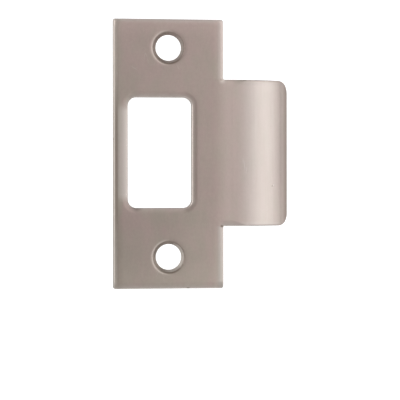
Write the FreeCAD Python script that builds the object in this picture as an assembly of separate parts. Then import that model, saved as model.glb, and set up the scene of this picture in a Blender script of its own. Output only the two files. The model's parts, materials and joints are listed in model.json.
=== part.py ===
# A door strike plate with an extended curved lip, stamped from one piece of steel sheet.
#
# The plate seats in a shallow recess of the door jamb and two flat head screws hold it there.
# As the door closes, its spring latch rides up the curved lip and drops into the opening.
#
# Frame: Z runs up the jamb, X points across the plate towards the lip, and Y points into the jamb.
# The origin is midway between the two screw holes, on the back face that seats on the jamb.
# Lengths are in millimetres and angles in degrees.
import FreeCAD, Part
import math
import os

# Sheet
thickness = 1.6

# Plate. Its middle is a little to the left of the holes and a little below them.
plate_width = 28.75
plate_height = 69.85
plate_corner_radius = 0.5
plate_offset_x = -0.05
plate_offset_z = -0.41

# Screw holes, countersunk from the front. The inset is from the plate's ends, but for its offset.
# The ring is the width of the countersink's cone as seen from the front.
hole_inset = 7.8
hole_diameter = 6.7
countersink_ring = 0.85
countersink_angle = 82.0
countersink_rim_radius = 0.2

# Latch opening, and the strip of metal on its left that holds the latch
stop_strip_width = 3.8
opening_width = 16.6
opening_height = 28.6
opening_corner_radius = 2.2

# Lip: a flat run past the plate's edge, a long sweep and then a tighter tip.
# Both radii are those of the front face, which is the outside of the bend.
# The lip and the opening share one middle, a little below that of the holes.
lip_height = 38.1
lip_offset_z = -0.1
lip_flat_run = 2.5
lip_sweep_radius = 26.0
lip_sweep_angle = 30.0
lip_tip_radius = 8.4
lip_tip_angle = 22.5
lip_corner_radius = 3.4
lip_root_radius = 0.35

# Edges. The punch rolls the front face down over a band along each edge.
roll_width = 1.5
roll_radius = 3.6
front_edge_radius = 0.28
opening_edge_radius = 0.45
back_edge_radius = 0.12

# Places that follow from the sizes
hole_spacing = plate_height - 2 * hole_inset
countersink_diameter = hole_diameter + 2 * countersink_ring
front_y = -thickness
plate_left = plate_offset_x - plate_width / 2
plate_right = plate_offset_x + plate_width / 2
plate_bottom = plate_offset_z - plate_height / 2
plate_top = plate_offset_z + plate_height / 2
opening_left = plate_left + stop_strip_width
opening_right = opening_left + opening_width
opening_bottom = lip_offset_z - opening_height / 2
opening_top = lip_offset_z + opening_height / 2
lip_bottom = lip_offset_z - lip_height / 2
lip_top = lip_offset_z + lip_height / 2
bend_x = plate_right + lip_flat_run
tip_slope = lip_sweep_angle + lip_tip_angle
roll_drop = roll_radius - math.sqrt(roll_radius ** 2 - roll_width ** 2)

# How far a cutter runs past the face that it opens
overrun = 1.0

# Faces that meet at more than this angle leave a sharp edge
sharp_angle = 45.0

FRONTWARD = FreeCAD.Vector(0, -1, 0)
INWARD = FreeCAD.Vector(0, 1, 0)
UPWARD = FreeCAD.Vector(0, 0, 1)


def closed_face(parts):
    """The flat face inside a closed chain of edges."""
    return Part.Face(Part.Wire(parts))


def through_edges(shape, places):
    """The edges that run through the sheet at the given (x, z) corners."""
    found = []
    for edge in shape.Edges:
        ends = [vertex.Point for vertex in edge.Vertexes]
        if len(ends) != 2 or abs(ends[0].y - ends[1].y) < thickness / 2:
            continue
        if any(math.hypot(end.x - x, end.z - z) < 0.01 for end in ends[:1] for x, z in places):
            found.append(edge)
    return found


def flat_sheet():
    """The flat sheet: the plate and the flat run of the lip, with rounded corners and lip roots."""
    corners = [
        (plate_left, plate_bottom),
        (plate_right, plate_bottom),
        (plate_right, lip_bottom),
        (bend_x, lip_bottom),
        (bend_x, lip_top),
        (plate_right, lip_top),
        (plate_right, plate_top),
        (plate_left, plate_top),
    ]
    points = [FreeCAD.Vector(x, front_y, z) for x, z in corners]
    sheet = Part.Face(Part.makePolygon(points + points[:1])).extrude(INWARD * thickness)
    outer = [(x, z) for x in (plate_left, plate_right) for z in (plate_bottom, plate_top)]
    sheet = sheet.makeFillet(plate_corner_radius, through_edges(sheet, outer))
    roots = [(plate_right, lip_bottom), (plate_right, lip_top)]
    return sheet.makeFillet(lip_root_radius, through_edges(sheet, roots))


def on_bend(centre, radius, slope):
    """The point of a bend where the sheet has turned through the given slope."""
    turn = math.radians(slope)
    return centre + FreeCAD.Vector(radius * math.sin(turn), -radius * math.cos(turn), 0)


def bend_centres():
    """The axes of the lip's sweep and of its tip, which meet at a common tangent."""
    sweep = FreeCAD.Vector(bend_x, front_y + lip_sweep_radius, 0)
    tip = on_bend(sweep, lip_sweep_radius - lip_tip_radius, lip_sweep_angle)
    return sweep, tip


def bent_lip():
    """The bent part of the lip: the sheet's section turned round the two bend axes."""
    sweep, tip = bend_centres()
    corners = [(front_y, lip_bottom), (0, lip_bottom), (0, lip_top), (front_y, lip_top)]
    points = [FreeCAD.Vector(bend_x, y, z) for y, z in corners]
    section = Part.Face(Part.makePolygon(points + points[:1]))
    swept = section.revolve(sweep, UPWARD, lip_sweep_angle)
    section.rotate(sweep, UPWARD, lip_sweep_angle)
    lip = swept.fuse(section.revolve(tip, UPWARD, lip_tip_angle))
    for side, end in ((1, lip_top), (-1, lip_bottom)):
        lip = lip.cut(lip_corner_waste(side, end))
    return lip


def lip_corner_waste(side, end):
    """What rounds off the corner of the lip's tip at its upper (side 1) or lower (side -1) end."""
    tip = bend_centres()[1]
    turn = math.radians(tip_slope)
    along = FreeCAD.Vector(math.cos(turn), math.sin(turn), 0)
    through = FreeCAD.Vector(-math.sin(turn), math.cos(turn), 0)
    rise = UPWARD * side
    radius = lip_corner_radius
    outside = radius + 2 * thickness
    corner = on_bend(tip, lip_tip_radius, tip_slope) + UPWARD * end
    start = corner - (along + rise) * radius - through * outside

    def place(across, up):
        return start + along * across + rise * up

    diagonal = radius * math.sqrt(0.5)
    arc = Part.Arc(place(radius, 0), place(diagonal, diagonal), place(0, radius)).toShape()
    rim = [place(0, radius), place(0, outside), place(outside, outside), place(outside, 0), place(radius, 0)]
    lines = [Part.makeLine(first, second) for first, second in zip(rim, rim[1:])]
    return closed_face([arc] + lines).extrude(through * (2 * outside))


def opening_waste():
    """What the latch opening leaves out: a rounded rectangle through the sheet."""
    corner = FreeCAD.Vector(opening_left, front_y - overrun, opening_bottom)
    block = Part.makeBox(opening_width, thickness + 2 * overrun, opening_height, corner)
    places = [(x, z) for x in (opening_left, opening_right) for z in (opening_bottom, opening_top)]
    return block.makeFillet(opening_corner_radius, through_edges(block, places))


def screw_hole_waste(z):
    """What one screw hole leaves out: the hole and its countersink."""
    start = FreeCAD.Vector(0, front_y - overrun, z)
    bore = Part.makeCylinder(hole_diameter / 2, thickness + 2 * overrun, start, INWARD)
    flare = math.tan(math.radians(countersink_angle / 2))
    mouth = countersink_diameter / 2 + overrun * flare
    return bore.fuse(Part.makeCone(mouth, 0, mouth / flare, start, INWARD))


def roll_section(x, z, into_sheet, spill):
    """The section of what the roll of an edge leaves out, at the edge's point (x, z).

    It reaches from the start of the roll on the front face to a little outside the edge.
    """
    edge = FreeCAD.Vector(x, front_y, z)

    def on_roll(distance):
        turn = math.asin((roll_width - distance) / roll_radius)
        return edge + into_sheet * distance + INWARD * (roll_radius * (1 - math.cos(turn)))

    start = on_roll(roll_width)
    end = on_roll(-spill)
    arc = Part.Arc(start, on_roll((roll_width - spill) / 2), end).toShape()
    above_start = start + FRONTWARD * overrun
    above_end = edge - into_sheet * spill + FRONTWARD * overrun
    rim = [end, above_end, above_start, start]
    return closed_face([arc] + [Part.makeLine(first, second) for first, second in zip(rim, rim[1:])])


def straight_roll(start, end, into_sheet):
    """The roll along a straight edge between two (x, z) points."""
    run = FreeCAD.Vector(end[0] - start[0], 0, end[1] - start[1])
    return roll_section(start[0], start[1], into_sheet, roll_width / 2).extrude(run)


def corner_roll(corner, side_x, side_z, radius, inner):
    """The roll round a quarter turn at a corner (x, z) of an outline.

    side_x and side_z point from the centre of the turn to the corner.
    At an inner corner the metal is outside the turn, and at an outer one it is inside.
    """
    centre = FreeCAD.Vector(corner[0] - side_x * radius, 0, corner[1] - side_z * radius)
    into_sheet = FreeCAD.Vector(side_x if inner else -side_x, 0, 0)
    spill = radius / 2 if inner else roll_width / 2
    section = roll_section(corner[0], centre.z, into_sheet, spill)
    return section.revolve(centre, INWARD, -90 * side_x * side_z)


def plate_rolls():
    """The rolls along the plate's edges, the roots of the lip and the lip's flat run.

    On the lip they run straight on, and fade out where the sheet bends away from them.
    """
    turn = roll_width + plate_corner_radius
    fade = 1.5 * math.sqrt(2 * lip_sweep_radius * roll_drop)
    root_x = plate_right + lip_root_radius
    right = FreeCAD.Vector(1, 0, 0)
    rolls = [straight_roll((plate_left, plate_bottom + turn), (plate_left, plate_top - turn), right)]
    for side, end, lip_end in ((1, plate_top, lip_top), (-1, plate_bottom, lip_bottom)):
        down = UPWARD * -side
        root_z = lip_end + side * lip_root_radius
        rolls.append(straight_roll((plate_left + turn, end), (plate_right - turn, end), down))
        rolls.append(corner_roll((plate_left, end), -1, side, turn, False))
        rolls.append(corner_roll((plate_right, end), 1, side, turn, False))
        rolls.append(straight_roll((plate_right, root_z), (plate_right, end - side * turn), -right))
        rolls.append(corner_roll((plate_right, lip_end), -1, -side, lip_root_radius, True))
        rolls.append(straight_roll((root_x, lip_end), (bend_x + fade, lip_end), down))
    return rolls


def opening_rolls():
    """The rolls all round the latch opening."""
    radius = opening_corner_radius
    rolls = []
    for side, x in ((-1, opening_left), (1, opening_right)):
        outward = FreeCAD.Vector(side, 0, 0)
        rolls.append(straight_roll((x, opening_bottom + radius), (x, opening_top - radius), outward))
        rolls.append(corner_roll((x, opening_bottom), side, -1, radius, True))
        rolls.append(corner_roll((x, opening_top), side, 1, radius, True))
    for side, z in ((-1, opening_bottom), (1, opening_top)):
        rolls.append(straight_roll((opening_left + radius, z), (opening_right - radius, z), UPWARD * side))
    return rolls


def middle(edge):
    """The point halfway along an edge."""
    return edge.valueAt((edge.FirstParameter + edge.LastParameter) / 2)


def depth(point):
    """How far a point is behind the front face, measured through the sheet."""
    sweep, tip = bend_centres()
    if point.x <= bend_x:
        return point.y - front_y
    flat = FreeCAD.Vector(point.x, point.y, 0)
    if FRONTWARD.getAngle(flat - sweep) <= math.radians(lip_sweep_angle):
        return lip_sweep_radius - (flat - sweep).Length
    return lip_tip_radius - (flat - tip).Length


def fold(shape, edge):
    """The angle at which the two faces of an edge meet, which is 0 where they run on smoothly."""
    faces = shape.ancestorsOfType(edge, Part.Face)
    if len(faces) != 2:
        return 0
    point = middle(edge)
    normals = [face.normalAt(*face.Surface.parameter(point)) for face in faces]
    return math.degrees(normals[0].getAngle(normals[1]))


def in_screw_hole(edge):
    """Whether an edge belongs to a screw hole."""
    point = middle(edge)
    return math.hypot(point.x, abs(point.z) - hole_spacing / 2) < countersink_diameter / 2 + 0.01


def in_opening(edge):
    """Whether an edge belongs to the latch opening."""
    point = middle(edge)
    across = opening_left - 0.01 < point.x < opening_right + 0.01
    return across and opening_bottom - 0.01 < point.z < opening_top + 0.01


def outline_edges(shape, front):
    """The sharp edges of the outline and the opening, on the front of the sheet or on its back."""
    found = []
    for edge in shape.Edges:
        if fold(shape, edge) < sharp_angle or in_screw_hole(edge):
            continue
        if (depth(middle(edge)) < thickness / 2) == front:
            found.append(edge)
    return found


def countersink_rims(shape):
    """The circles where the countersinks meet the front face."""
    rims = [edge for edge in shape.Edges if in_screw_hole(edge) and fold(shape, edge) > 1]
    return [edge for edge in rims if abs(middle(edge).y - front_y) < 0.01]


def strike_plate():
    """The whole part."""
    plate = flat_sheet().fuse(bent_lip()).removeSplitter()
    plate = plate.cut(opening_waste())
    for roll in plate_rolls() + opening_rolls():
        plate = plate.cut(roll)
    for z in (hole_spacing / 2, -hole_spacing / 2):
        plate = plate.cut(screw_hole_waste(z))
    plate = plate.removeSplitter()
    plate = plate.makeFillet(countersink_rim_radius, countersink_rims(plate))
    inner = [edge for edge in outline_edges(plate, True) if in_opening(edge)]
    plate = plate.makeFillet(opening_edge_radius, inner)
    outer = [edge for edge in outline_edges(plate, True) if not in_opening(edge)]
    plate = plate.makeFillet(min(front_edge_radius, 0.9 * roll_drop), outer)
    return plate.makeFillet(back_edge_radius, outline_edges(plate, False))


def main():
    os.makedirs("parts", exist_ok=True)
    part = strike_plate()
    box = part.BoundBox
    print("valid", part.isValid(), "solids", len(part.Solids), "faces", len(part.Faces))
    print("volume", round(part.Volume, 1), "size", round(box.XLength, 2), round(box.YLength, 2), round(box.ZLength, 2))
    part.exportStep("parts/strike_plate.step")


main()
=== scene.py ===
"""Gives a door strike plate its worn satin nickel finish and sets it up in a plain white studio."""
import json
import math

import bpy
from bpy.props import FloatProperty, FloatVectorProperty, PointerProperty
from mathutils import Matrix, Vector


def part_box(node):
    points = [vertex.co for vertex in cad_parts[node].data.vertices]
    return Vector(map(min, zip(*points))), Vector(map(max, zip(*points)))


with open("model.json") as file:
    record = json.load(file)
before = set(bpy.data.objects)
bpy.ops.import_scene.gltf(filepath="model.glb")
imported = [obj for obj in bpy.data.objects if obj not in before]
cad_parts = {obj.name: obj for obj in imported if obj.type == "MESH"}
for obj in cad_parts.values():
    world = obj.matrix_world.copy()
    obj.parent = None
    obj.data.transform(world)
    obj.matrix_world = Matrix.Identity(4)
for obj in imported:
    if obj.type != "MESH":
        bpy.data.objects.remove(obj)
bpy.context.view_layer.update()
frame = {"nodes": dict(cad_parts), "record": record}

bl_info = {
    "name": "Strike Plate Finish",
    "version": (1, 0, 0),
    "blender": (4, 5, 0),
    "location": "3D View > Sidebar > Strike Plate",
    "description": "Worn satin nickel finish, soft studio and camera for a door strike plate",
    "category": "Material",
}

PLATE = "strike_plate"
MM = 0.001
WHITE = (1.0, 1.0, 1.0)

# The plate's own places in millimetres, in the frame of the solid: x to the lip, z up the jamb.
# Outer sizes and screw holes come from the frame, and the rest are those of the solid.
# The lip leans back, so its corner is given as it looks from the front.
LOW, HIGH = [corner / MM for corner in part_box(PLATE)]
MOUNTS = {mount["name"]: mount for mount in frame["record"]["mounts"]}
HOLE_RADIUS = MOUNTS["screw_holes"]["dims"]["hole_r_mm"]
HOLE_HEIGHT = MOUNTS["screw_holes"]["dims"]["spacing_y_mm"] / 2
COUNTERSINK_WIDTH = 0.85
COUNTERSINK_RADIUS = HOLE_RADIUS + COUNTERSINK_WIDTH
PLATE_RIGHT = 14.325
PLATE_MIDDLE = Vector(((LOW.x + PLATE_RIGHT) / 2, LOW.y, (LOW.z + HIGH.z) / 2))
PLATE_CORNER = 0.5
OPENING_LEFT = -10.625
OPENING_RIGHT = 5.975
OPENING_HEIGHT = 28.6
OPENING_CORNER = 2.2
LIP_MIDDLE = -0.1
LIP_HEIGHT = 38.1
LIP_CORNER = 2.6
LIP_ENDS = (LIP_MIDDLE - LIP_HEIGHT / 2, LIP_MIDDLE + LIP_HEIGHT / 2)
OPENING_ENDS = (LIP_MIDDLE - OPENING_HEIGHT / 2, LIP_MIDDLE + OPENING_HEIGHT / 2)

# The fine scratches on the lip: the x and z of each one's middle, and its length.
LIP_SCRATCHES = ((19.5, -2.2, 2.4), (19.9, -3.4, 3.4), (20.4, -4.6, 2.2))

# The lamps stand on a ring round the plate, their middles a little above the plate's.
LAMP_DISTANCE = 0.8
LAMP_RISE = math.radians(8.0)
LAMP_HEIGHT = 1.2

# The backdrop's paper, and how much it glows towards the view to be seen as white.
PAPER = (0.8, 0.8, 0.8)
PAPER_GLOW = 0.45


class NickelSettings(bpy.types.PropertyGroup):
    """Colours and wear of the satin nickel."""

    rosy: FloatVectorProperty(
        name="Rosy nickel", description="The warmer tone of the blotches", subtype="COLOR", size=3,
        default=(0.286, 0.225, 0.206), min=0.0, max=1.0)
    olive: FloatVectorProperty(
        name="Olive nickel", description="The greener tone of the blotches", subtype="COLOR", size=3,
        default=(0.262, 0.225, 0.194), min=0.0, max=1.0)
    # The rubbed colour also paints highlights: on the lip, along the edges' roll, across the strip left
    # of the opening and on the right edge.
    rubbed: FloatVectorProperty(
        name="Rubbed nickel", description="Where the latch and hands have rubbed the edges and the lip",
        subtype="COLOR", size=3, default=(0.36, 0.34, 0.32), min=0.0, max=1.0)
    # This colour also paints highlights: along the worn edges and on the countersinks' rims and cones.
    bare_and_sheen: FloatVectorProperty(
        name="Bare edges", description="The bright line along the worn edges", subtype="COLOR", size=3,
        default=(0.53, 0.485, 0.445), min=0.0, max=1.0)
    # This colour also paints shade: in the countersinks, in lines along the edges, at the lip's root
    # corners and at its curled end.
    grime_and_shade: FloatVectorProperty(
        name="Grime", description="Dark dirt in the marks and the countersinks", subtype="COLOR", size=3,
        default=(0.104, 0.079, 0.06), min=0.0, max=1.0)
    roughness: FloatProperty(
        name="Roughness", description="How matt the satin finish is", subtype="FACTOR",
        default=0.33, min=0.0, max=1.0)
    shade: FloatProperty(
        name="Shade", description="How light the finish is before its texture is added",
        default=0.696, min=0.0)
    # The rubbed band along the edges is partly a painted highlight.
    edge_rub_and_sheen: FloatProperty(
        name="Edge rub", description="How strongly the rubbed edges show", subtype="FACTOR",
        default=0.35, min=0.0, max=1.0)
    # The latch's polish on the lip is partly painted light that shapes the lip's highlight.
    latch_rub_and_sheen: FloatProperty(
        name="Latch rub", description="How strongly the latch's polish on the lip shows",
        subtype="FACTOR", default=0.48, min=0.0, max=1.0)
    blotch_size: FloatProperty(
        name="Blotch size", description="Width of the cloudy blotches in millimetres",
        default=8.0, min=1.0)
    mottle_size: FloatProperty(
        name="Mottle size", description="Width of the fine mottle in millimetres",
        default=0.8, min=0.1)
    grain_width: FloatProperty(
        name="Grain width", description="Width of the brushed grain in millimetres",
        default=0.16, min=0.02)
    grain_length: FloatProperty(
        name="Grain length", description="Length of the brushed grain in millimetres",
        default=3.0, min=0.1)
    grain_depth: FloatProperty(
        name="Grain depth", description="Height of the brushed grain in millimetres",
        default=0.0012, min=0.0)
    edge_band_width: FloatProperty(
        name="Edge wear", description="Width of the rubbed band along the edges in millimetres",
        default=1.4, min=0.05)


class StudioSettings(bpy.types.PropertyGroup):
    """Lamps, backdrop and camera."""

    distance: FloatProperty(
        name="Camera distance", description="From the camera to the plate's middle", unit="LENGTH",
        default=0.4341, min=0.05)
    lens: FloatProperty(
        name="Lens", description="Focal length on a 36 mm sensor, in millimetres",
        default=150.88, min=1.0)
    turn: FloatProperty(
        name="Turn", description="How far the camera stands to the left of the plate's square view",
        subtype="ANGLE", default=math.radians(8.2))
    tilt: FloatProperty(
        name="Tilt", description="How far the camera looks up at the plate", subtype="ANGLE",
        default=math.radians(0.41))
    roll: FloatProperty(
        name="Roll", description="Roll of the camera about its own axis", subtype="ANGLE",
        default=math.radians(0.06))
    aim_right: FloatProperty(
        name="Aim right", description="How far the view's centre is to the right of the plate's middle",
        unit="LENGTH", default=0.0081)
    aim_down: FloatProperty(
        name="Aim down", description="How far the view's centre is below the plate's middle",
        unit="LENGTH", default=0.01194)
    room: FloatProperty(
        name="Room light", description="Strength of the even light of the room", default=0.55, min=0.0)
    key: FloatProperty(
        name="Key lamp", description="Power of the soft lamp on the right, in watts",
        default=3.7, min=0.0)
    fill: FloatProperty(
        name="Fill lamp", description="Power of the weak lamp nearer the camera, in watts",
        default=1.45, min=0.0)
    side: FloatProperty(
        name="Side lamp", description="Power of the lamp beside the plate, on the right, in watts",
        default=2.7, min=0.0)
    rim: FloatProperty(
        name="Rim lamp", description="Power of the soft lamp on the left, in watts",
        default=4.8, min=0.0)
    floor_drop: FloatProperty(
        name="Floor drop", description="How far the floor is below the plate", unit="LENGTH",
        default=0.045)
    wall_distance: FloatProperty(
        name="Wall distance", description="How far the backdrop stands behind the plate", unit="LENGTH",
        default=0.7)


class StrikePlateSettings(bpy.types.PropertyGroup):
    """All settings of the strike plate's scene."""

    nickel: PointerProperty(type=NickelSettings)
    studio: PointerProperty(type=StudioSettings)


class Wire:
    """A node's socket that can be used in arithmetic: each operation adds one Math node."""

    def __init__(self, graph, socket):
        self.graph = graph
        self.socket = socket

    def math(self, operation, *values):
        return self.graph.node("ShaderNodeMath", {"operation": operation}, dict(enumerate(values)))

    def __add__(self, other):
        return self.math("ADD", self, other)

    def __sub__(self, other):
        return self.math("SUBTRACT", self, other)

    def __rsub__(self, other):
        return self.math("SUBTRACT", other, self)

    def __mul__(self, other):
        return self.math("MULTIPLY", self, other)

    def __truediv__(self, other):
        return self.math("DIVIDE", self, other)

    def __rtruediv__(self, other):
        return self.math("DIVIDE", other, self)

    def __pow__(self, other):
        return self.math("POWER", self, other)

    def __neg__(self):
        return self.math("MULTIPLY", self, -1.0)

    def __abs__(self):
        return self.math("ABSOLUTE", self)

    def least(self, other):
        return self.math("MINIMUM", self, other)

    def most(self, other):
        return self.math("MAXIMUM", self, other)

    __radd__ = __add__
    __rmul__ = __mul__


class Graph:
    """The node tree of a material or of the world, built by expressions."""

    def __init__(self, tree):
        self.tree = tree
        self.tree.nodes.clear()

    def node(self, kind, settings=None, inputs=None, output=0):
        """Adds a node: its settings come first, then the values or links of its sockets."""
        made = self.tree.nodes.new(kind)
        for name, value in (settings or {}).items():
            setattr(made, name, value)
        for name, value in (inputs or {}).items():
            if isinstance(value, Wire):
                self.tree.links.new(value.socket, made.inputs[name])
            else:
                made.inputs[name].default_value = value
        return Wire(self, made.outputs[output]) if len(made.outputs) else None

    def split(self, vector):
        """The three coordinates of a vector."""
        outputs = self.node("ShaderNodeSeparateXYZ", None, {0: vector}).socket.node.outputs
        return [Wire(self, outputs[axis]) for axis in "XYZ"]

    def fade(self, value, start, end):
        """0 where the value is at start or beyond it, 1 at end or beyond, and smooth between them."""
        settings = {"interpolation_type": "SMOOTHSTEP"}
        inputs = {"Value": value, "From Min": start, "From Max": end}
        if start > end:
            inputs.update({"From Min": end, "From Max": start, "To Min": 1.0, "To Max": 0.0})
        return self.node("ShaderNodeMapRange", settings, inputs)

    def blend(self, mask, first, second):
        """The first colour where the mask is 0 and the second where it is 1."""
        inputs = {0: mask, 6: opaque(first), 7: opaque(second)}
        return self.node("ShaderNodeMix", {"data_type": "RGBA"}, inputs, 2)

    def scaled(self, vector, factor):
        """A vector or colour multiplied by a number."""
        return self.node("ShaderNodeVectorMath", {"operation": "SCALE"}, {0: vector, "Scale": factor})

    def stretched(self, point, x, y, z):
        """The point with its coordinates divided by x, y and z, so that a pattern grows by them."""
        return self.node("ShaderNodeVectorMath", {"operation": "DIVIDE"}, {0: point, 1: (x, y, z)})

    def noise(self, point, size, detail=2.0, roughness=0.5):
        """Cloudy noise about 0.5, with clouds of the given size."""
        inputs = {"Vector": point, "Scale": 1 / size, "Detail": detail, "Roughness": roughness}
        return self.node("ShaderNodeTexNoise", None, inputs)


def opaque(colour):
    """A colour, which may be a link or three numbers, ready for a colour socket."""
    return colour if isinstance(colour, Wire) else (*colour, 1.0)


def material(name):
    """A new node material and its graph."""
    made = bpy.data.materials.new(name)
    made.use_nodes = True
    return made, Graph(made.node_tree)


class Surface:
    """Where a point of the plate is, in millimetres, and masks for places that wear differently and where
    light and shade are painted.
    """

    def __init__(self, graph):
        self.graph = graph
        self.point = graph.scaled(graph.node("ShaderNodeTexCoord", output="Object"), 1 / MM)
        self.x, _, self.z = graph.split(self.point)
        # The normal's y is -1 on the flat front, 0 on the walls of the sheet and 1 on the back.
        facing = graph.split(graph.node("ShaderNodeTexCoord", output="Normal"))[1]
        self.front = graph.fade(facing, 0.1, -0.1)
        self.wall = graph.fade(abs(facing), 0.45, 0.25)
        self.measure_edges()
        self.find_places()

    def measure_edges(self):
        """Distances from the opening, from the nearest edge and from the nearest countersink's mouth."""
        plate = self.from_block((LOW.x, PLATE_RIGHT), (LOW.z, HIGH.z), PLATE_CORNER)
        lip = self.from_block((LOW.x, HIGH.x), LIP_ENDS, LIP_CORNER)
        self.from_opening = self.from_block((OPENING_LEFT, OPENING_RIGHT), OPENING_ENDS, OPENING_CORNER)
        self.from_edge = self.from_opening.least(-plate.least(lip))
        self.from_hole = self.length(self.x, abs(self.z) - HOLE_HEIGHT) - COUNTERSINK_RADIUS

    def find_places(self):
        """Masks that are 1 in a place and 0 away from it."""
        graph = self.graph
        from_lip_middle = abs(self.z - LIP_MIDDLE)
        # The plate short of the lip, what lies above and below the lip, and the right edge there.
        self.on_plate = self.fade_x(15.5, 14.2)
        self.past_lip = graph.fade(from_lip_middle, LIP_HEIGHT / 2 - 0.4, LIP_HEIGHT / 2 + 0.5)
        self.right_edge = self.ridge(self.x, 12.1, 13.5, 14.6, 15.5) * self.past_lip
        # The lower half of each hole, and its lowest part.
        up_or_down = self.fade_z(-1.0, 1.0) * 2.0 - 1.0
        above_hole = self.z - up_or_down * HOLE_HEIGHT
        self.hole_foot = graph.fade(above_hole, -0.3, -3.0)
        self.hole_base = graph.fade(above_hole, -2.5, -4.0)
        # The height of the opening's straight sides, its left corners and the band below it.
        self.beside = graph.fade(from_lip_middle, 13.2, 10.6)
        near_opening = graph.fade(self.from_opening, 1.3, 0.3)
        lower_more = self.fade_z(4.0, -4.0) * 0.75 + 0.25
        self.corner = near_opening * (1.0 - self.beside) * self.fade_x(-6.5, -8.5) * lower_more
        self.below = self.fade_z(-13.0, -14.6) * graph.fade(self.from_opening, 3.0, 1.0)

    @staticmethod
    def length(first, second):
        """The length of the diagonal of two distances at a right angle."""
        return (first * first + second * second) ** 0.5

    def from_block(self, sides, ends, corner):
        """Distance from a rounded rectangle between two x and two z values, negative inside it."""
        across = abs(self.x - sum(sides) / 2) - ((sides[1] - sides[0]) / 2 - corner)
        along = abs(self.z - sum(ends) / 2) - ((ends[1] - ends[0]) / 2 - corner)
        outside = self.length(across.most(0.0), along.most(0.0))
        return outside + across.most(along).least(0.0) - corner

    def fade_x(self, start, end):
        """0 where x is at start or beyond it, 1 at end or beyond, and smooth between them."""
        return self.graph.fade(self.x, start, end)

    def fade_z(self, start, end):
        """0 where z is at start or beyond it, 1 at end or beyond, and smooth between them."""
        return self.graph.fade(self.z, start, end)

    def ridge(self, value, start, rise, fall, end):
        """1 on the front where the value is between rise and fall, and 0 before start and after end."""
        return self.graph.fade(value, start, rise) * self.graph.fade(value, end, fall) * self.front

    def dip(self, distance, reach, steepness):
        """A hollow that starts a reach away and deepens by the square of how far it has come."""
        return (reach - distance).most(0.0) ** 2.0 * steepness

    def spot(self, x, z, width, height, lean=0.0):
        """1 in an oval at (x, z) and 0 outside it. It leans to the left by an angle in degrees."""
        turn = math.radians(lean)
        across = (self.x - x) * math.cos(turn) + (self.z - z) * math.sin(turn)
        along = (self.z - z) * math.cos(turn) - (self.x - x) * math.sin(turn)
        reach = self.length(across / (width / 2), along / (height / 2))
        return self.graph.fade(reach, 1.0, 0.4) * self.front


# Masks and tones. Their bounds are places or distances in millimetres, and their factors are strengths.
def rubbed_and_lit_places(surface, edge_band_width):
    """How far the rubbed colour goes on: along the edges, as rubbed nickel with a painted highlight on
    their roll, and as painted light across the strip left of the opening and on the right edge.
    """
    graph = surface.graph
    ragged = (graph.noise(surface.point, 1.2, detail=3.0) - 0.5) * 0.5
    # The band along the edges is rubbed nickel, and partly a painted highlight on the edges' roll.
    band = graph.fade(surface.from_edge + ragged * edge_band_width, edge_band_width, 0.1)
    band = band * (1.0 - surface.below * 0.6) * (1.0 - surface.corner * 0.7)
    off_outer_wall = 1.0 - surface.wall * graph.fade(surface.from_opening, 0.5, 1.0)
    lower_lip = surface.fade_z(-5.0, -10.0) * surface.fade_x(HIGH.x - 1.5, HIGH.x - 3.0)
    worn = band * off_outer_wall * surface.on_plate.most(lower_lip)
    # Painted light across the strip left of the opening, stronger towards its right side.
    strip = surface.ridge(surface.x, -13.6, -13.2, -10.4, -9.6) * surface.beside
    strip = strip * (surface.fade_x(-13.0, -11.5) * 0.7 + 0.7)
    # Painted highlight on the right edge's roll above and below the lip.
    right_edge = surface.right_edge * (surface.fade_z(5.0, -5.0) * 0.5 + 0.8)
    return worn.most(strip).most(right_edge)


def bare_edges_and_sheen(surface):
    """How far the rounded front edges of the plate and the opening are worn through, with a painted
    highlight along them.
    """
    graph = surface.graph
    ragged = graph.noise(surface.point, 1.5, detail=3.0) * 0.32 + 0.13
    line = graph.fade(surface.from_edge, 0.4, 0.2) * surface.on_plate
    line = line * (1.0 - surface.corner * 0.8) * (1.0 - surface.right_edge * 0.6)
    return line * ragged * (1.0 - surface.wall) * surface.front


def countersink_highlights(surface):
    """Painted highlights on the countersinks: on the rims' left side and on the cones' right, where they
    catch the light.
    """
    graph = surface.graph
    lower_hole = surface.fade_z(10.0, -10.0)
    rim = surface.ridge(surface.from_hole, -0.15, 0.0, 0.15, 0.6) * surface.fade_x(1.0, -2.5)
    cone = surface.ridge(surface.from_hole, -1.2, -0.8, -0.4, -0.14) * (1.0 - surface.hole_foot * 0.15)
    cone = cone * graph.fade(surface.x + surface.hole_foot * 2.5, 0.5, 3.6)
    return (rim * (lower_hole * 0.08 + 0.25)).most(cone * (lower_hole * 0.65 + 0.35))


def latch_polish_and_sheen(surface):
    """How far the sliding latch has polished the lip: about 1 where it rides, and 0 on the plate. Part of
    it is painted light that shapes the lip's highlight.
    """
    graph = surface.graph
    # Partly painted light: lighter from the lip's root to its highlight, and less towards its curled end.
    side = surface.fade_x(12.0, 16.0) * 0.25 + surface.fade_x(17.0, 23.0) * 0.75
    side = side - surface.fade_x(27.0, 30.5) * 0.5
    ends = graph.fade(abs(surface.z - LIP_MIDDLE), LIP_HEIGHT / 2 + 0.4, LIP_HEIGHT / 2 - 0.8)
    streaks = graph.noise(graph.stretched(surface.point, 0.7, 0.7, 14.0), 1.0, detail=3.0)
    return side * ends * surface.front * (0.75 + streaks * 0.5)


def countersink_dirt_and_shade(surface):
    """How dark the countersinks are made, partly dirty and partly painted shade, most of it on their left
    and in the upper one.
    """
    graph = surface.graph
    cone = graph.fade(surface.from_hole, 0.15, -0.1) * graph.fade(surface.from_hole, -1.3, -0.7)
    foot = surface.hole_foot * (0.12 - surface.fade_x(-2.5, 0.5) * 0.38)
    upper_hole = surface.ridge(surface.z, 0.0, 10.0, 26.5, 29.5) * 0.17
    return cone * surface.fade_x(2.0, -3.0) * (foot + upper_hole + 0.36)


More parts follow.
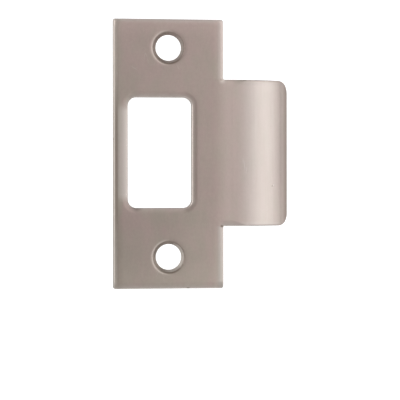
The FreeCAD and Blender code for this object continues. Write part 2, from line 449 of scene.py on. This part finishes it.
def shade_and_stain_lines(surface):
    """How dark the lines along the edges are: painted shade on the left wall, just inside the left edge,
    beside the opening's right side and at the countersinks' mouths, and a stain at the lower left.
    """
    graph = surface.graph
    # Painted shade on the plate's left wall and in a line just inside the left edge.
    left_wall = surface.wall * surface.fade_x(LOW.x + 0.3, LOW.x + 0.1)
    left_wall = left_wall * (surface.fade_z(18.0, 8.0) * 0.28 + 0.36)
    left_line = surface.ridge(surface.x, -14.1, -13.8, -13.45, -13.1)
    left_line = left_line * (graph.fade(abs(surface.z + 3.0), 24.0, 10.0) * 0.4 + 0.1)
    stain = surface.ridge(surface.x, -13.9, -13.4, -12.7, -11.6) * surface.fade_z(-12.0, -18.0) * 0.13
    # Painted shadow line beside the opening's right side and its right corners.
    opening_line = surface.ridge(surface.from_opening, 0.4, 0.65, 0.95, 1.7) * surface.fade_x(2.5, 5.0)
    opening_line = opening_line * (surface.beside * 0.11 + 0.17)
    # Painted shade at the countersinks' mouths, most on their right and lower parts.
    rim_foot = surface.hole_foot * 0.28 + surface.hole_base * 0.42
    rim_line = surface.ridge(surface.from_hole, -0.35, -0.1, 0.05, 0.3)
    rim_line = rim_line * (surface.fade_x(-1.0, 1.5) * 0.14).most(rim_foot)
    return left_wall.most(left_line).most(stain).most(opening_line).most(rim_line)


def nicks_and_corner_shade(surface):
    """1 in a few dark nicks and specks, and in painted shade at the corners where the lip leaves the
    plate.
    """
    # Painted shade in the corners where the lip leaves the plate.
    upper_root = surface.spot(13.9, 18.9, 1.4, 1.0) * 0.4
    lower_root = surface.spot(13.9, -19.2, 1.1, 0.9)
    bottom_nick = surface.spot(5.0, -35.2, 1.0, 0.5)
    left_nick = surface.spot(-14.4, 3.4, 0.4, 0.7)
    lip_speck = surface.spot(27.63, -8.74, 0.45, 0.35, 30.0)
    return upper_root.most(lower_root).most(bottom_nick).most(left_nick).most(lip_speck)


def dirt_and_shade_places(surface):
    """How dark the finish is made: dirty in the countersinks and nicks, and painted shade in the
    countersinks, in lines along the edges, at the lip's root corners and at its curled end.
    """
    # Painted shade at the lip's end, where it curls away from the light.
    lip_end = surface.fade_x(HIGH.x - 1.8, HIGH.x - 0.3)
    dirt_and_shade = countersink_dirt_and_shade(surface).most(shade_and_stain_lines(surface))
    return dirt_and_shade.most(nicks_and_corner_shade(surface) * 0.7).most(lip_end * 0.55)


def light_marks(surface):
    """How bright the scratches and specks are: a few placed ones, and faint ones all over."""
    graph = surface.graph
    lip_speck = surface.spot(28.08, -8.48, 0.5, 0.35, 30.0)
    plate_scratch = surface.spot(-9.03, 21.77, 0.3, 2.6, 60.0) * 0.2
    marks = lip_speck.most(plate_scratch)
    for x, z, length in LIP_SCRATCHES:
        lip_scratch = surface.spot(x, z, 0.18, length, 3.0) * 0.5
        marks = marks.most(lip_scratch)
    course = graph.noise(graph.stretched(surface.point, 5.0, 5.0, 26.0), 1.0, detail=1.0)
    place = graph.fade(graph.noise(surface.point, 4.0, detail=1.0), 0.56, 0.66)
    faint = graph.fade(abs(course - 0.5), 0.004, 0.001) * place * surface.front
    return marks.most(faint * 0.2)


def painted_light_and_tone(surface):
    """How light the finish is, about 1: it varies gently over the plate and along the lip. Painted light
    and shade lie across the strip left of the opening, on the opening's right wall, along the right edge
    and on the lip.
    """
    graph = surface.graph
    top = surface.fade_z(29.0, 33.0) * 0.08
    left_top = surface.fade_x(-12.6, -13.6) * surface.fade_z(8.0, 24.0) * 0.16
    under_opening = surface.fade_z(-9.0, -17.0) * (surface.fade_x(8.0, -2.0) * 0.08 - 0.02)
    foot = surface.fade_z(-26.0, -33.0) * 0.09 + surface.fade_z(-16.0, -26.0) * surface.x * 0.006
    foot_left = surface.fade_z(-18.0, -25.0) * surface.fade_x(8.0, -4.0) * 0.05
    # Painted shade across the strip left of the opening.
    strip = surface.beside * surface.ridge(surface.x, -12.5, -11.2, -9.5, -8.5) * 0.26
    # Painted light on the opening's right wall.
    right_wall = surface.wall * graph.fade(surface.from_opening, 0.3, 0.1)
    right_wall = right_wall * surface.fade_x(5.0, 5.8) * 0.24
    # Painted light along the right edge beside the lip.
    edge_foot = surface.past_lip * surface.ridge(surface.x, 11.4, 12.9, 13.3, 14.3) * 0.08
    plate = top + left_top - under_opening + foot + foot_left - strip + right_wall + edge_foot
    # Painted light and shade shaping the lip's highlight: lighter at the root and lower down, darker past
    # the root, along the top and in the upper middle.
    root = surface.fade_x(11.0, 15.5) * 0.17 - surface.fade_x(15.5, 20.0) * 0.18
    lip_top = surface.fade_z(17.0, 18.6) * surface.fade_x(16.0, 18.0) * 0.08
    lip_glare = surface.fade_z(4.0, 10.0) * surface.ridge(surface.x, 20.0, 23.5, 27.0, 29.0) * 0.07
    lip_foot = surface.fade_x(17.0, 22.0) * surface.fade_z(-2.0, -15.0) * 0.12
    lip = root - lip_top - lip_glare + lip_foot
    corner = 1.0 - surface.corner * 0.3
    edge_shade = surface.fade_z(31.0, 33.5) * 0.12 + surface.fade_z(5.0, -5.0) * 0.03 + 0.24
    return (1.0 + plate + lip) * corner * (1.0 - surface.right_edge * edge_shade)


def olive_tone(surface, clouds, mottle):
    """How olive the finish is, from 0 to 1: in blotches, and more so in some places of the plate."""
    graph = surface.graph
    left = surface.fade_x(-11.5, -13.0) * (surface.fade_z(27.0, 14.0) * 0.5 + 0.3)
    above = surface.ridge(surface.z, 11.0, 14.0, 18.0, 23.0) * surface.fade_x(-5.0, -10.0) * 0.45
    below = surface.fade_z(-14.2, -16.0) * surface.ridge(surface.x, -6.5, -2.0, 8.5, 11.0)
    below = below * (surface.fade_z(-20.0, -17.0) * 0.4 + 0.5)
    foot = surface.fade_z(-20.0, -31.0) * surface.fade_x(17.0, 15.0) * 0.35
    foot_left = surface.fade_z(-18.0, -23.0) * surface.fade_x(-4.0, -9.0) * 0.37
    foot_right = surface.fade_z(-19.0, -22.0) * surface.fade_x(10.5, 12.5) * 0.3
    shoulder = surface.ridge(surface.z, 16.0, 20.0, 22.0, 27.0) * surface.fade_x(3.0, 10.0) * 0.25
    right = surface.ridge(surface.x, 5.5, 8.0, 13.0, 15.5)
    right = right * surface.ridge(abs(surface.z), 2.0, 7.0, 12.5, 16.0) * 0.22
    more = left.most(above).most(below) + foot + foot_left + foot_right + shoulder + right
    top_left = surface.spot(-10.9, 31.0, 7.0, 12.0) * 0.6
    top_right = surface.fade_z(24.0, 28.0) * surface.fade_x(10.0, 13.0) * 0.3
    patches = graph.noise(graph.stretched(surface.point, 1.0, 1.0, 2.0), 2.2, detail=3.0)
    blotches = (clouds - 0.5) * 1.6 + (patches - 0.5) * 1.8 + (mottle - 0.5) * 0.6 + 0.2
    return (blotches + more - top_left - top_right).most(0.0).least(1.0)


def sunk_places(surface):
    """How far the front sinks, in millimetres: at the edges and holes and across the left strip."""
    graph = surface.graph
    edge = surface.dip(surface.from_edge, reach=0.4, steepness=0.35)
    edge = edge * graph.fade(surface.from_opening, 0.4, 0.6) * surface.fade_x(12.5, 11.0)
    opening = surface.dip(surface.from_opening, reach=2.6, steepness=0.013)
    opening = opening * surface.fade_x(-10.8, -9.0) * (1.0 - surface.below * 0.6)
    hole = surface.dip(surface.from_hole, reach=0.9, steepness=0.12)
    hole = hole * graph.fade(surface.from_hole, -0.1, 0.1) * (1.0 - surface.fade_x(0.0, 3.5) * 0.5)
    strip_left = -13.4
    strip_width = 3.0
    strip = (surface.x - strip_left).most(0.0).least(strip_width) * 0.05
    strip = strip * surface.beside * surface.fade_x(-8.5, -10.0)
    return (edge + opening + hole + strip) * surface.front


def nickel_material(settings):
    """Satin nickel with cloudy blotches, a brushed grain, rubbed edges and a few marks, and painted light
    and shade on the edges, the countersinks, the lip and the plate.
    """
    made, graph = material("worn_satin_nickel")
    surface = Surface(graph)
    clouds = graph.noise(surface.point, settings.blotch_size, detail=3.0)
    mottle = graph.noise(surface.point, settings.mottle_size, detail=4.0, roughness=0.6)
    grain_point = graph.stretched(
        surface.point, settings.grain_width, settings.grain_width, settings.grain_length)
    grain = graph.noise(grain_point, 1.0, detail=4.0, roughness=0.65)
    shear = graph.noise(graph.stretched(surface.point, 0.12, 1.5, 0.12), 1.0) * surface.wall
    rubbed = rubbed_and_lit_places(surface, settings.edge_band_width)
    dirt_and_shade = dirt_and_shade_places(surface)
    marks = light_marks(surface)

    colour = graph.blend(olive_tone(surface, clouds, mottle), settings.rosy, settings.olive)
    texture = mottle * 0.16 + clouds * 0.10 + grain * 0.13 - shear * 0.12
    # Broad lighter and darker places, with painted light and shade on the strip, the right edge and the
    # lip.
    colour = graph.scaled(colour, (settings.shade + texture) * painted_light_and_tone(surface))
    # The latch's polish on the lip, partly painted light that shapes its highlight.
    colour = graph.blend(latch_polish_and_sheen(surface) * settings.latch_rub_and_sheen, colour, settings.rubbed)
    # Rubbed edges, with painted highlights along their roll, across the strip left of the opening and on
    # the right edge.
    colour = graph.blend((rubbed * settings.edge_rub_and_sheen).most(marks), colour, settings.rubbed)
    # Worn edges with a painted highlight, and painted highlights on the countersinks.
    colour = graph.blend(bare_edges_and_sheen(surface).most(countersink_highlights(surface)), colour, settings.bare_and_sheen)
    # Dirty places, and painted shade in the countersinks, in lines along the edges, at the lip's root
    # corners and at its curled end.
    colour = graph.blend(dirt_and_shade, colour, settings.grime_and_shade)

    roughness = settings.roughness + (grain - 0.5) * 0.10 + (clouds - 0.5) * 0.08
    roughness = roughness + dirt_and_shade * 0.2 + shear * 0.15 - marks * 0.08

    # Heights in millimetres. The plate is a little wavy, and the lip is smoother.
    waves = graph.noise(surface.point, 5.0, detail=1.0) * (surface.fade_x(18.0, 14.0) * 0.018 + 0.002)
    height = waves + grain * settings.grain_depth + shear * 0.01 + marks * 0.004 - dirt_and_shade * 0.01
    height = height - sunk_places(surface)
    bump = graph.node("ShaderNodeBump", None, {"Height": height, "Distance": MM})

    shader = graph.node("ShaderNodeBsdfPrincipled", None, {
        "Base Color": colour, "Metallic": 1.0, "Roughness": roughness, "Normal": bump})
    graph.node("ShaderNodeOutputMaterial", None, {"Surface": shader})
    return made


class STRIKEPLATE_OT_finish(bpy.types.Operator):
    """Give the plate and its lip their worn satin nickel finish"""

    bl_idname = "strike_plate.finish"
    bl_label = "Finish the Plate"

    def execute(self, context):
        slots = frame["nodes"][PLATE].data.materials
        nickel = nickel_material(context.scene.strike_plate.nickel)
        for index in range(len(slots)):
            slots[index] = nickel
        return {"FINISHED"}


def white_to_view(graph):
    """1 for what the camera sees, directly, mirrored or through glass, and 0 for soft light."""
    path = graph.node("ShaderNodeLightPath").socket.node.outputs
    seen = [Wire(graph, path[name]) for name in ("Is Camera Ray", "Is Glossy Ray", "Is Transmission Ray")]
    return seen[0].most(seen[1]).most(seen[2])


def light_room(studio):
    """An even room light, against a background that is seen as white."""
    world = bpy.data.worlds.new("room")
    world.use_nodes = True
    bpy.context.scene.world = world
    graph = Graph(world.node_tree)
    strength = white_to_view(graph) * (1.0 - studio.room) + studio.room
    shader = graph.node("ShaderNodeBackground", None, {"Color": opaque(WHITE), "Strength": strength})
    graph.node("ShaderNodeOutputWorld", None, {"Surface": shader})


def add_lamp(name, power, bearing, width):
    """A soft rectangular lamp that faces the plate, at a bearing in degrees to the right of its front."""
    data = bpy.data.lights.new(name, "AREA")
    data.shape = "RECTANGLE"
    data.size = width
    data.size_y = LAMP_HEIGHT
    data.energy = power
    lamp = bpy.data.objects.new(name, data)
    bpy.context.scene.collection.objects.link(lamp)
    turn = math.radians(bearing)
    level = math.cos(LAMP_RISE)
    away = Vector((math.sin(turn) * level, -math.cos(turn) * level, math.sin(LAMP_RISE)))
    lamp.location = away * LAMP_DISTANCE
    lamp.rotation_euler = away.to_track_quat("Z", "Y").to_euler()
    lamp.visible_camera = False


def backdrop_material():
    """Matt white paper that is seen as white and still takes a soft shadow."""
    made, graph = material("white_paper")
    diffuse = graph.node("ShaderNodeBsdfDiffuse", None, {"Color": opaque(PAPER)})
    glow = graph.node("ShaderNodeEmission", None, {"Strength": white_to_view(graph) * PAPER_GLOW})
    both = graph.node("ShaderNodeAddShader", None, {0: diffuse, 1: glow})
    graph.node("ShaderNodeOutputMaterial", None, {"Surface": both})
    return made


def add_backdrop(studio):
    """A seamless sheet of paper: a floor that curves up into a wall behind the plate."""
    floor = LOW.z * MM - studio.floor_drop
    wall = studio.wall_distance
    half_width = 1.5
    front = -1.2
    top = 1.4
    bend = 0.25
    steps = 16
    line = [(front, floor)]
    for step in range(steps + 1):
        turn = math.pi / 2 * step / steps
        line.append((wall - bend + bend * math.sin(turn), floor + bend - bend * math.cos(turn)))
    line.append((wall, top))
    points = [(side * half_width, y, z) for y, z in line for side in (-1, 1)]
    faces = [(2 * i, 2 * i + 1, 2 * i + 3, 2 * i + 2) for i in range(len(line) - 1)]
    mesh = bpy.data.meshes.new("backdrop")
    mesh.from_pydata(points, [], faces)
    mesh.shade_smooth()
    mesh.materials.append(backdrop_material())
    backdrop = bpy.data.objects.new("backdrop", mesh)
    bpy.context.scene.collection.objects.link(backdrop)


def add_camera(studio):
    """The camera, turned about the middle of the plate's front face and aimed a little off it."""
    turn = Matrix.Rotation(-studio.roll, 3, "Y") @ Matrix.Rotation(studio.tilt, 3, "X")
    turn = (turn @ Matrix.Rotation(studio.turn, 3, "Z")).transposed()
    right, inward, up = turn.col
    data = bpy.data.cameras.new("camera")
    data.sensor_width = 36.0
    data.lens = studio.lens
    data.clip_start = 0.01
    camera = bpy.data.objects.new("camera", data)
    bpy.context.scene.collection.objects.link(camera)
    place = PLATE_MIDDLE * MM + right * studio.aim_right - up * studio.aim_down - inward * studio.distance
    camera.matrix_world = Matrix.Translation(place) @ Matrix((right, up, -inward)).transposed().to_4x4()
    bpy.context.scene.camera = camera


class STRIKEPLATE_OT_studio(bpy.types.Operator):
    """Set up the white backdrop, the soft lamps and the camera"""

    bl_idname = "strike_plate.studio"
    bl_label = "Set Up the Studio"

    def execute(self, context):
        studio = context.scene.strike_plate.studio
        context.scene.view_settings.view_transform = "Standard"
        light_room(studio)
        add_backdrop(studio)
        add_lamp("key_lamp", studio.key, bearing=52.5, width=0.43)
        add_lamp("fill_lamp", studio.fill, bearing=22.5, width=0.43)
        add_lamp("side_lamp", studio.side, bearing=105.0, width=0.66)
        add_lamp("rim_lamp", studio.rim, bearing=-55.0, width=0.58)
        add_camera(studio)
        return {"FINISHED"}


class STRIKEPLATE_PT_panel(bpy.types.Panel):
    """The strike plate's steps and settings"""

    bl_idname = "STRIKEPLATE_PT_panel"
    bl_label = "Strike Plate"
    bl_space_type = "VIEW_3D"
    bl_region_type = "UI"
    bl_category = "Strike Plate"

    def draw(self, context):
        settings = context.scene.strike_plate
        steps = ((STRIKEPLATE_OT_finish, settings.nickel), (STRIKEPLATE_OT_studio, settings.studio))
        for operator, group in steps:
            self.layout.operator(operator.bl_idname)
            for name in group.__annotations__:
                self.layout.prop(group, name)


CLASSES = (
    NickelSettings,
    StudioSettings,
    StrikePlateSettings,
    STRIKEPLATE_OT_finish,
    STRIKEPLATE_OT_studio,
    STRIKEPLATE_PT_panel,
)


def register():
    for kind in CLASSES:
        bpy.utils.register_class(kind)
    bpy.types.Scene.strike_plate = PointerProperty(type=StrikePlateSettings)


def unregister():
    del bpy.types.Scene.strike_plate
    for kind in reversed(CLASSES):
        bpy.utils.unregister_class(kind)


def main():
    register()
    bpy.ops.strike_plate.finish()
    bpy.ops.strike_plate.studio()


if __name__ == "__main__":
    main()
